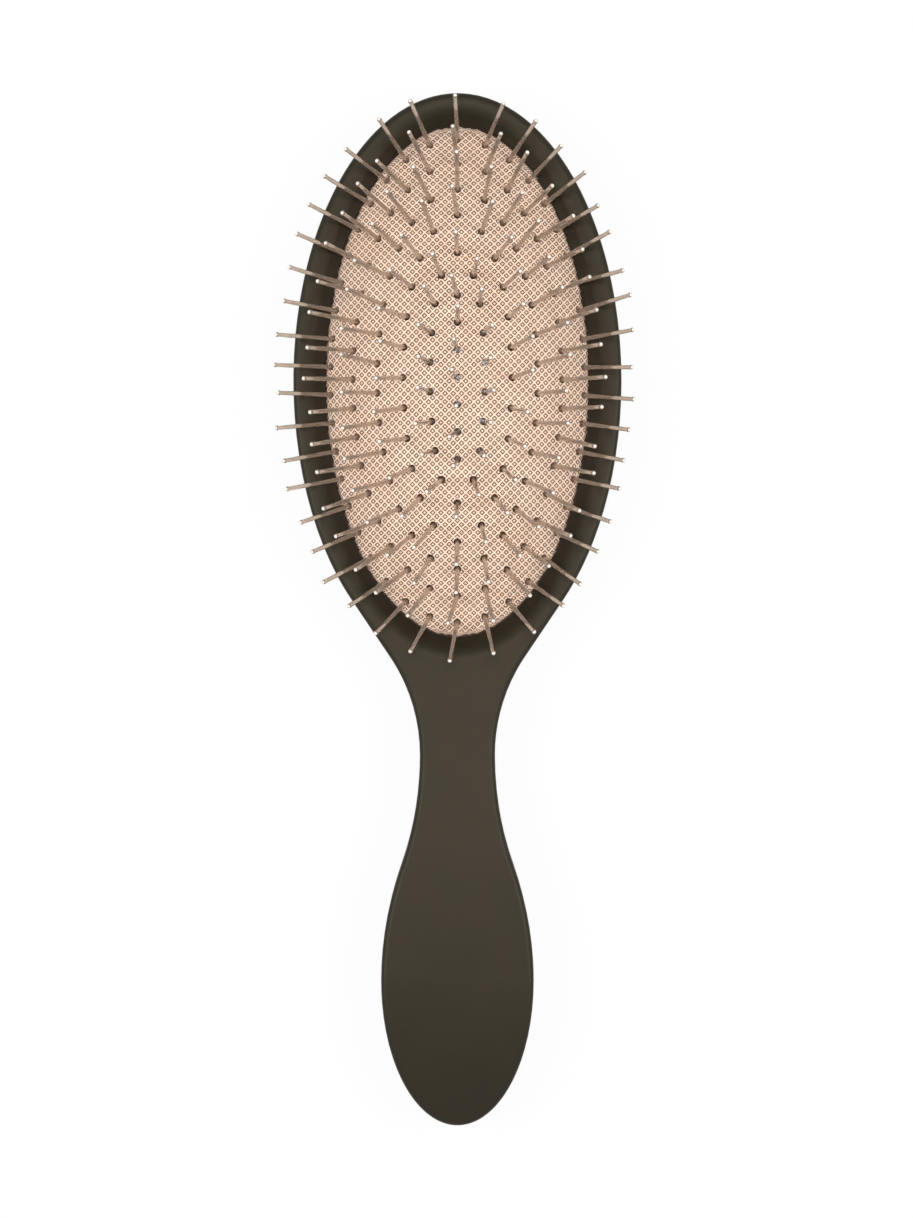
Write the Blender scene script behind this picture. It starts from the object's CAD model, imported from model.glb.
import math
import random
import bmesh
import bpy
from mathutils import Matrix, Vector


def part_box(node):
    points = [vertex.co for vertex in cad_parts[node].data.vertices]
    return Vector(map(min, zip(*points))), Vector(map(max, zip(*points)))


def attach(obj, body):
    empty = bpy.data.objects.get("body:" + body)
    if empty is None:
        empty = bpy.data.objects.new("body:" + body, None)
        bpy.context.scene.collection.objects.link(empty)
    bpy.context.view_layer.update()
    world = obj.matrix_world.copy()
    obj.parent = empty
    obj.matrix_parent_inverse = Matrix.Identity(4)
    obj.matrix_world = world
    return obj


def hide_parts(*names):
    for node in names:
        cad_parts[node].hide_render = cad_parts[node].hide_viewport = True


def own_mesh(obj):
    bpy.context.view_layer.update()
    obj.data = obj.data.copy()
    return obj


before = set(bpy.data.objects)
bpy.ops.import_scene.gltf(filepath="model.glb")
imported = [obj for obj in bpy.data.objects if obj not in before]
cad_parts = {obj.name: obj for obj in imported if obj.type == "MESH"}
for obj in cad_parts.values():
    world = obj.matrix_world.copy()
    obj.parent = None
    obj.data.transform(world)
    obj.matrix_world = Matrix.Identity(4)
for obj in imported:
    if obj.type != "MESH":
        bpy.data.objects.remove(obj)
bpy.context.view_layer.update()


# Casing: two moulded ABS shells that meet at a parting line round the side.
# The front shell carries the oval rim and the face of the handle, and the back shell the flat back.
# Both are sprayed with one soft-touch coat, and five small pegs inside line them up.

def linear(code):
    """An sRGB hex colour as linear RGBA."""
    parts = [int(code[i:i + 2], 16) / 255 for i in (1, 3, 5)]
    return [p / 12.92 if p <= 0.04045 else ((p + 0.055) / 1.055) ** 2.4 for p in parts] + [1.0]


def add(tree, kind, inputs, **settings):
    """One shader node: its settings, then each input as a plain value or as a link from a socket."""
    node = tree.nodes.new(kind)
    for name, value in settings.items():
        setattr(node, name, value)
    for name, value in inputs.items():
        if isinstance(value, bpy.types.NodeSocket):
            tree.links.new(value, node.inputs[name])
        else:
            node.inputs[name].default_value = value
    return node


# Soft-touch coated ABS: a polyurethane lacquer over a moulded shell. The eye sees a dark olive-brown
# that is almost without gloss, a very fine grain, and a pale bloom where the surface turns away.
soft_touch = bpy.data.materials.new("soft_touch_coated_ABS")
soft_touch.use_nodes = True
tree = soft_touch.node_tree
shader = tree.nodes["Principled BSDF"]
place = add(tree, "ShaderNodeTexCoord", {})
# Spray clouds about 14 mm wide, hardly lighter and darker than the coat
clouds = add(tree, "ShaderNodeTexNoise",
             {"Vector": place.outputs["Object"], "Scale": 1 / 0.014, "Detail": 3.0})
tone = add(tree, "ShaderNodeValToRGB", {"Fac": clouds.outputs["Fac"]})
tone.color_ramp.elements[0].position = 0.3
tone.color_ramp.elements[0].color = linear("#1A160F")
tone.color_ramp.elements[1].position = 0.7
tone.color_ramp.elements[1].color = linear("#1E1912")
# Grain of the lacquer is about 0.1 mm; it is drawn at 0.3 mm so that it shows in the render
grain = add(tree, "ShaderNodeTexNoise",
            {"Vector": place.outputs["Object"], "Scale": 1 / 0.0003, "Detail": 2.0})
dull = add(tree, "ShaderNodeMapRange", {"Value": grain.outputs["Fac"], "To Min": 0.42, "To Max": 0.5})
relief = add(tree, "ShaderNodeBump",
             {"Height": grain.outputs["Fac"], "Strength": 0.25, "Distance": 0.00002})
tree.links.new(tone.outputs["Color"], shader.inputs["Base Color"])
tree.links.new(dull.outputs["Result"], shader.inputs["Roughness"])
tree.links.new(relief.outputs["Normal"], shader.inputs["Normal"])
shader.inputs["IOR"].default_value = 1.4
shader.inputs["Specular IOR Level"].default_value = 0.38
shader.inputs["Specular Tint"].default_value = linear("#FFF0D5")
shader.inputs["Sheen Weight"].default_value = 0.02
shader.inputs["Sheen Roughness"].default_value = 0.45
for name in ("front_shell", "back_shell"):
    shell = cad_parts[name]
    shell.data.materials.clear()
    shell.data.materials.append(soft_touch)


# Clamp ring: a plain oval ring of uncoated ABS behind the pad's flange.
# The rib of the back shell presses it up, so that it traps the flange under the front shell's lip.

# Moulded ABS, left as it comes from the tool: near-black brown, a soft gloss and faint flow marks.
bare_abs = bpy.data.materials.new("moulded_ABS")
bare_abs.use_nodes = True
tree = bare_abs.node_tree
shader = tree.nodes["Principled BSDF"]
place = add(tree, "ShaderNodeTexCoord", {})
# Flow marks about 6 mm long
flow = add(tree, "ShaderNodeTexNoise",
           {"Vector": place.outputs["Object"], "Scale": 1 / 0.006, "Detail": 2.0})
tone = add(tree, "ShaderNodeValToRGB", {"Fac": flow.outputs["Fac"]})
tone.color_ramp.elements[0].color = linear("#2C2822")
tone.color_ramp.elements[1].color = linear("#332E27")
tree.links.new(tone.outputs["Color"], shader.inputs["Base Color"])
shader.inputs["Roughness"].default_value = 0.42
shader.inputs["IOR"].default_value = 1.54
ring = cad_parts["clamp_ring"]
ring.data.materials.clear()
ring.data.materials.append(bare_abs)


# Bristle rows: where the pins stand on the pad's dome, needed for its holes and for the pins.
# Five closed oval rows lie round a straight centre row. The holes are square to the dome, whose
# surface is part of an ellipsoid that stands on the seat of the front shell.
pad_low, pad_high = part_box("cushion_pad")
pad_thickness = 0.0016
head_y = (pad_low.y + pad_high.y) / 2
seat_z = pad_low.z + pad_thickness
dome_rise = 0.01
dome_half_width = 0.0286
dome_half_length = 0.0553
dome_radius = (dome_half_width ** 2 + dome_rise ** 2) / (2 * dome_rise)
dome_long_radius = dome_radius * dome_half_length / dome_half_width
dome_centre_z = seat_z + dome_rise - dome_radius
# Insets of the outer row from the pad's edge, then steps as shares of a half length
row_counts = (42, 36, 30, 24, 18)
centre_count = 7
row_side_inset = 0.0011
row_end_inset = 0.0029
row_end_pitch = 0.104
inner_row_inset = 0.047
centre_pitch = 0.218
outer_angle = math.asin((dome_half_width - row_side_inset) / dome_radius)


def oval_row(half_width, half_length, count):
    """Places spread evenly round an oval from its far end onwards, to a tenth of a degree."""
    walk = [(half_width * math.sin(math.radians(i / 10)), half_length * math.cos(math.radians(i / 10)))
            for i in range(3601)]
    run = [0.0]
    for start, end in zip(walk, walk[1:]):
        run.append(run[-1] + math.dist(start, end))
    stops = [run[-1] * i / count for i in range(count)]
    return [next(spot for spot, length in zip(walk, run) if length >= stop) for stop in stops]


def dome_height(across, along):
    """Height of the dome above its centre."""
    rest = 1 - (across / dome_radius) ** 2 - (along / dome_long_radius) ** 2
    return dome_radius * math.sqrt(max(0.0, rest))


rows = []
for row, count in enumerate(row_counts):
    row_width = dome_radius * math.sin(outer_angle * (len(row_counts) - row) / len(row_counts))
    row_length = dome_half_length * (1 - row_end_pitch * row) - row_end_inset
    if count == row_counts[-1]:
        row_length -= dome_half_length * inner_row_inset
    rows.append(oval_row(row_width, row_length, count))
rows.append([(0.0, (centre_count // 2 - i) * centre_pitch * row_length) for i in range(centre_count)])


# Cushion pad: one moulded rubber membrane, domed outwards over an air space.
# A lattice of fine ribs with a small bump in each cell covers its face, cut off in scallops at the edge.
# The plain flange round it sits under the front shell's lip, and there is a hole for every bristle.
# Real cells are 1.13 mm wide; they are drawn at 1.25 mm so that ribs and bumps show in the render
cell = 0.00125
grid_cells = 102
pit_depth = 0.00034
# Lattice's outline, and where its cells start to be squeezed towards that outline, as a share of it
face_half_width = 0.0287
face_half_length = 0.0554
rim_zone = 0.985
rim_squeeze = 0.35
rim_limit = 1.004
# Radii of the bend by which the flat lattice draws together towards the sides and the ends
side_bend = 0.052
end_bend = 0.117
pad = bmesh.new()
bmesh.ops.create_grid(pad, x_segments=grid_cells, y_segments=grid_cells, size=grid_cells // 2 * cell,
                      matrix=Matrix.Rotation(math.pi / 4, 4, "Z"))


def pad_reach(across, along):
    """How far out a place lies, as a share of the way to the lattice's outline."""
    return math.hypot(across / face_half_width, along / face_half_length)


def on_pad(vert):
    """Where a point of the flat lattice lies: cells draw together towards the edge, most at its rim."""
    across = side_bend * math.sin(vert.co.x / side_bend)
    along = end_bend * math.sin(vert.co.y / end_bend)
    reach = pad_reach(across, along)
    trim = 1 if reach < rim_zone else (rim_zone + rim_squeeze * (reach - rim_zone)) / reach
    return across * trim, along * trim


outside = [face for face in pad.faces if any(pad_reach(*on_pad(vert)) > rim_limit for vert in face.verts)]
bmesh.ops.delete(pad, geom=outside, context="FACES")
# A flat rib round each cell, a slope down to the pit, the pit's floor and the bump in its middle
cells = list(pad.faces)
for width, rise in ((0.00014, 0), (0.0001, -pit_depth), (0.00011, 0), (0.00007, 0.9 * pit_depth)):
    bmesh.ops.inset_individual(pad, faces=cells, thickness=width, depth=rise, use_even_offset=True)
# How deep each point lies, for the colour: 0 on the ribs, 1 in the pits and 2 in the gap under the rim
gap_shade = 2.0
recess = pad.verts.layers.float.new("recess")
for vert in pad.verts:
    vert[recess] = -vert.co.z / pit_depth
    across, along = on_pad(vert)
    vert.co = (across, head_y + along, dome_centre_z + dome_height(across, along) + pit_depth + vert.co.z)

# The scalloped edge drops to the flange, which closes round the dome's inner face
edge = bmesh.ops.extrude_edge_only(pad, edges=[e for e in pad.edges if e.is_boundary])["geom"]
foot = [item for item in edge if isinstance(item, bmesh.types.BMVert)]
for vert in foot:
    vert.co.z = seat_z
    vert[recess] = gap_shade
scallops = [e for e in pad.edges if e.is_boundary]
flange = (0.0312, 0.0579)
lay = Matrix.Translation((0, head_y, seat_z)) @ Matrix.Diagonal((*flange, 1, 1))
hoop = bmesh.ops.create_circle(pad, segments=120, radius=1.0, matrix=lay)["verts"]
for vert in hoop:
    vert[recess] = gap_shade
loop = list({e for vert in hoop for e in vert.link_edges})
bmesh.ops.triangle_fill(pad, use_beauty=True, edges=scallops + loop, normal=(0, 0, 1))
inner_radius = dome_radius - pad_thickness
inner_long_radius = dome_long_radius - pad_thickness
rings = [(*flange, seat_z - pad_thickness)]
brim = math.acos((seat_z - pad_thickness - dome_centre_z) / inner_radius)
ring_count = 9
for step in range(ring_count):
    turn = brim * (1 - step / ring_count)
    rings.append((inner_radius * math.sin(turn), inner_long_radius * math.sin(turn),
                  dome_centre_z + inner_radius * math.cos(turn)))
now = (*flange, seat_z)
for ring_size in rings:
    grown = bmesh.ops.extrude_edge_only(pad, edges=loop)["geom"]
    verts = [item for item in grown if isinstance(item, bmesh.types.BMVert)]
    loop = [item for item in grown if isinstance(item, bmesh.types.BMEdge)]
    scale = Matrix.Diagonal((ring_size[0] / now[0], ring_size[1] / now[1], 1, 1))
    lift = Matrix.Translation((0, head_y, ring_size[2]))
    move = lift @ scale @ Matrix.Translation((0, -head_y, -now[2]))
    bmesh.ops.transform(pad, matrix=move, verts=verts)
    now = ring_size
bmesh.ops.pointmerge(pad, verts=verts, merge_co=(0, head_y, dome_centre_z + inner_radius))
bmesh.ops.recalc_face_normals(pad, faces=list(pad.faces))
pad_mesh = bpy.data.meshes.new("rubber_pad")
pad.to_mesh(pad_mesh)
pad.free()
pad_piece = bpy.data.objects.new("rubber_pad", pad_mesh)
bpy.context.scene.collection.objects.link(pad_piece)


def standing(across, along, lean=None):
    """Stands a thing that was made along +Z on the dome at this place, square to it or leaning."""
    height = dome_height(across, along)
    way = Vector((across / dome_radius ** 2, along / dome_long_radius ** 2, height / dome_radius ** 2))
    way.normalize()
    if lean:
        way = Vector((*lean(way), way.z))
    turn = way.to_track_quat("Z", "Y").to_matrix().to_4x4()
    return Matrix.Translation((across, head_y + along, dome_centre_z + height)) @ turn


# Holes for the bristles, whose walls are as dark as the gap under the rim
hole_radius = 0.00085
drill_length = 0.006
drills = bmesh.new()
recess = drills.verts.layers.float.new("recess")
for spot in (spot for row in rows for spot in row):
    bmesh.ops.create_cone(drills, cap_ends=True, segments=16, radius1=hole_radius, radius2=hole_radius,
                          depth=drill_length, matrix=standing(*spot))
for vert in drills.verts:
    vert[recess] = gap_shade
drill_mesh = bpy.data.meshes.new("drills")
drills.to_mesh(drill_mesh)
drills.free()
drill_piece = bpy.data.objects.new("drills", drill_mesh)
bpy.context.scene.collection.objects.link(drill_piece)
cut = pad_piece.modifiers.new("holes", "BOOLEAN")
cut.operation = "DIFFERENCE"
cut.solver = "MANIFOLD"
cut.object = drill_piece
bpy.context.view_layer.update()
drilled = pad_piece.evaluated_get(bpy.context.evaluated_depsgraph_get())
pad_piece.data = bpy.data.meshes.new_from_object(drilled)
pad_piece.modifiers.clear()
bpy.data.objects.remove(drill_piece)
pad_piece.data.shade_smooth()
pad_piece.data.set_sharp_from_angle(angle=math.radians(70))

# Moulded natural rubber: a warm pink-beige, dull with a soft skin gloss, a little deeper in tone
# in patches about 9 mm wide where the compound flowed, and darker down in the lattice's pits.
rubber = bpy.data.materials.new("moulded_rubber")
rubber.use_nodes = True
tree = rubber.node_tree
shader = tree.nodes["Principled BSDF"]
place = add(tree, "ShaderNodeTexCoord", {})
patches = add(tree, "ShaderNodeTexNoise",
              {"Vector": place.outputs["Object"], "Scale": 1 / 0.009, "Detail": 2.0})
tone = add(tree, "ShaderNodeValToRGB", {"Fac": patches.outputs["Fac"]})
tone.color_ramp.elements[0].position = 0.3
tone.color_ramp.elements[0].color = linear("#FDDFC9")
tone.color_ramp.elements[1].position = 0.7
tone.color_ramp.elements[1].color = linear("#FEE6D2")
pits = add(tree, "ShaderNodeAttribute", {}, attribute_name="recess")
depth = add(tree, "ShaderNodeMapRange", {"Value": pits.outputs["Fac"], "From Max": gap_shade})
shade = add(tree, "ShaderNodeValToRGB", {"Fac": depth.outputs["Result"]})
shade.color_ramp.elements[0].position = 0.1
shade.color_ramp.elements[0].color = linear("#FFFFFF")
shade.color_ramp.elements[1].color = linear("#140C08")
shade.color_ramp.elements.new(0.45).color = linear("#7B6454")
tone = add(tree, "ShaderNodeMix", {"Factor": 1.0, "A": tone.outputs["Color"], "B": shade.outputs["Color"]},
           data_type="RGBA", blend_type="MULTIPLY")
# Skin of the moulding, a fine tooth of 0.12 mm
tooth = add(tree, "ShaderNodeTexNoise",
            {"Vector": place.outputs["Object"], "Scale": 1 / 0.00012, "Detail": 2.0})
dull = add(tree, "ShaderNodeMapRange", {"Value": tooth.outputs["Fac"], "To Min": 0.46, "To Max": 0.6})
relief = add(tree, "ShaderNodeBump", {"Height": tooth.outputs["Fac"], "Strength": 0.2, "Distance": 0.00001})
tree.links.new(tone.outputs["Result"], shader.inputs["Base Color"])
tree.links.new(dull.outputs["Result"], shader.inputs["Roughness"])
tree.links.new(relief.outputs["Normal"], shader.inputs["Normal"])
shader.inputs["IOR"].default_value = 1.48
shader.inputs["Specular Tint"].default_value = linear("#FFE4CF")
pad_piece.data.materials.clear()
pad_piece.data.materials.append(rubber)
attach(pad_piece, "casing")
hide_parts("cushion_pad")
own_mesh(pad_piece)


# Bristles: 157 single moulded nylon pins, pushed through the pad from behind.
# Each has a flat head behind the pad, a shaft that tapers a little and a ball on its tip.
# They lean a few degrees towards the handle and to one side, no two quite alike.

# Nylon, moulded and unfilled: clear with a smoky brown tint and a smooth gloss. The end of the ball,
# rounded by heat, is cloudy and catches the light as a white dot.
nylon = bpy.data.materials.new("clear_smoky_nylon")
nylon.use_nodes = True
tree = nylon.node_tree
shader = tree.nodes["Principled BSDF"]
place = add(tree, "ShaderNodeTexCoord", {})
# Smoke in the melt varies over about 5 mm
smoke = add(tree, "ShaderNodeTexNoise",
            {"Vector": place.outputs["Object"], "Scale": 1 / 0.005, "Detail": 1.0})
tone = add(tree, "ShaderNodeValToRGB", {"Fac": smoke.outputs["Fac"]})
tone.color_ramp.elements[0].color = linear("#C0AE9C")
tone.color_ramp.elements[1].color = linear("#CCBBAA")
gloss = add(tree, "ShaderNodeMapRange", {"Value": smoke.outputs["Fac"], "To Min": 0.06, "To Max": 0.12})
cloudy = add(tree, "ShaderNodeAttribute", {}, attribute_name="cloudy")
tone = add(tree, "ShaderNodeMix",
           {"Factor": cloudy.outputs["Fac"], "A": tone.outputs["Color"], "B": linear("#FBF6EF")},
           data_type="RGBA")
clear = add(tree, "ShaderNodeMapRange", {"Value": cloudy.outputs["Fac"], "To Min": 0.76, "To Max": 0.1})
tree.links.new(tone.outputs["Result"], shader.inputs["Base Color"])
tree.links.new(gloss.outputs["Result"], shader.inputs["Roughness"])
tree.links.new(clear.outputs["Result"], shader.inputs["Transmission Weight"])
shader.inputs["IOR"].default_value = 1.53

# Half of a pin's outline in millimetres from the pad's surface: the flat head, the shaft and the ball
flat_head = [(0, -2.5), (1.2, -2.5), (1.2, -1.7)]
shaft = [(0.525, -1.7), (0.45, 17.12)]
ball = [(0.55, 17.42), (0.46, 17.75), (0.27, 17.93), (0, 18)]
cloudy_from = 0.0179
pin = bmesh.new()
points = [pin.verts.new((across / 1000, 0, up / 1000)) for across, up in flat_head + shaft + ball]
lines = [pin.edges.new(pair) for pair in zip(points, points[1:])]
bmesh.ops.spin(pin, geom=points + lines, axis=(0, 0, 1), cent=(0, 0, 0), angle=2 * math.pi, steps=8,
               use_merge=True)
bmesh.ops.remove_doubles(pin, verts=list(pin.verts), dist=0.00001)
bmesh.ops.recalc_face_normals(pin, faces=list(pin.faces))
for face in pin.faces:
    face.smooth = True
cloudy = pin.verts.layers.float.new("cloudy")
for vert in pin.verts:
    vert[cloudy] = float(vert.co.z > cloudy_from)
pin_mesh = bpy.data.meshes.new("pin")
pin.to_mesh(pin_mesh)
pin.free()

# Slopes by which a pin leaves the square: to one side, towards the handle, and by chance
side_lean = -0.048
handle_lean = -0.053
chance_lean = 0.05
chance = random.Random(11)


def pin_lean(way):
    """Pins splay a little more than the dome does, most of all at its two ends, and lean to one side."""
    end_splay = 0.97 + 2.4 * way.y ** 2
    end_turn = 0.07 * way.y
    across = way.x * end_splay + side_lean + end_turn + chance.uniform(-chance_lean, chance_lean)
    along = way.y * 1.09 + handle_lean + chance.uniform(-chance_lean, chance_lean)
    return across, along


names = ("row_1", "row_2", "row_3", "row_4", "row_5", "centre_row")
for name, row in zip(names, rows):
    pins = bmesh.new()
    for spot in row:
        before = len(pins.verts)
        pins.from_mesh(pin_mesh)
        pins.verts.ensure_lookup_table()
        bmesh.ops.transform(pins, matrix=standing(*spot, pin_lean), verts=pins.verts[before:])
    mesh = bpy.data.meshes.new(f"{name}_pins")
    pins.to_mesh(mesh)
    pins.free()
    mesh.set_sharp_from_angle(angle=math.radians(60))
    mesh.materials.append(nylon)
    piece = bpy.data.objects.new(f"{name}_pins", mesh)
    bpy.context.scene.collection.objects.link(piece)
    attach(piece, f"bristle_{name}")
    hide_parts(*[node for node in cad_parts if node.startswith(f"{name}_bristles")])


# Studio: a plain white floor, a white room, a panel overhead and a softbox at each side.
# The camera looks straight down from half a metre, as in the photograph.
# The floor lies a hair below the flat back, so that the two do not flicker.
floor_half_size = 3.0
floor_gap = 0.0002
floor_mesh = bmesh.new()
bmesh.ops.create_grid(floor_mesh, x_segments=1, y_segments=1, size=floor_half_size,
                      matrix=Matrix.Translation((0, 0, -floor_gap)))
mesh = bpy.data.meshes.new("floor")
floor_mesh.to_mesh(mesh)
floor_mesh.free()
floor = bpy.data.objects.new("floor", mesh)
bpy.context.scene.collection.objects.link(floor)
# Matt white board: what the camera sees straight, or through gloss and clear pins, is lifted to white
board = bpy.data.materials.new("matt_white_board")
board.use_nodes = True
tree = board.node_tree
tree.nodes.clear()
ray = add(tree, "ShaderNodeLightPath", {})
seen = add(tree, "ShaderNodeMath",
           {0: ray.outputs["Is Camera Ray"], 1: ray.outputs["Is Glossy Ray"]}, operation="MAXIMUM")
seen = add(tree, "ShaderNodeMath",
           {0: seen.outputs[0], 1: ray.outputs["Is Transmission Ray"]}, operation="MAXIMUM")
lift = add(tree, "ShaderNodeMath", {0: seen.outputs[0], 1: 0.93}, operation="MULTIPLY")
matt = add(tree, "ShaderNodeBsdfDiffuse", {"Color": linear("#F2F2F2")})
white = add(tree, "ShaderNodeEmission", {"Color": linear("#FFFFFF"), "Strength": 1.0})
mixed = add(tree, "ShaderNodeMixShader", {0: lift.outputs[0], 1: matt.outputs[0], 2: white.outputs[0]})
add(tree, "ShaderNodeOutputMaterial", {"Surface": mixed.outputs[0]})
mesh.materials.append(board)

# White room: its own light is dim and falls off towards the walls, and seen it is white as the floor is
room = bpy.data.worlds.new("white_room")
bpy.context.scene.world = room
room.use_nodes = True
tree = room.node_tree
tree.nodes.clear()
place = add(tree, "ShaderNodeTexCoord", {})
height = add(tree, "ShaderNodeSeparateXYZ", {"Vector": place.outputs["Generated"]})
shade = add(tree, "ShaderNodeMapRange", {"Value": height.outputs["Z"], "From Min": 0.0, "From Max": 1.0,
                                         "To Min": 0.2, "To Max": 0.35})
light = add(tree, "ShaderNodeBackground", {"Color": linear("#FFFFFF"), "Strength": shade.outputs["Result"]})
ray = add(tree, "ShaderNodeLightPath", {})
white = add(tree, "ShaderNodeBackground", {"Color": linear("#FFFFFF"), "Strength": 1.0})
seen = add(tree, "ShaderNodeMath",
           {0: ray.outputs["Is Camera Ray"], 1: ray.outputs["Is Glossy Ray"]}, operation="MAXIMUM")
seen = add(tree, "ShaderNodeMath",
           {0: seen.outputs[0], 1: ray.outputs["Is Transmission Ray"]}, operation="MAXIMUM")
mixed = add(tree, "ShaderNodeMixShader", {0: seen.outputs[0], 1: light.outputs[0], 2: white.outputs[0]})
add(tree, "ShaderNodeOutputWorld", {"Surface": mixed.outputs[0]})

# Each lamp's place, the side of its square in metres, and its watts
lamps = (
    ("overhead", (0.0, 0.08, 0.8), 0.22, 1.6),
    ("right", (0.36, 0.0, 0.47), 0.3, 1.65),
    ("left", (-0.36, 0.0, 0.47), 0.3, 1.7),
)
for name, place, size, watts in lamps:
    lamp = bpy.data.lights.new(name, "AREA")
    lamp.size = size
    lamp.energy = watts
    softbox = bpy.data.objects.new(name, lamp)
    softbox.location = place
    softbox.rotation_euler = (-Vector(place)).to_track_quat("-Z", "Y").to_euler()
    bpy.context.scene.collection.objects.link(softbox)

lens = bpy.data.cameras.new("camera")
lens.lens = 68.3
camera = bpy.data.objects.new("camera", lens)
camera.location = (-0.0002, 0.00013, 0.514)
bpy.context.scene.collection.objects.link(camera)
bpy.context.scene.camera = camera
bpy.context.scene.view_settings.view_transform = "Standard"
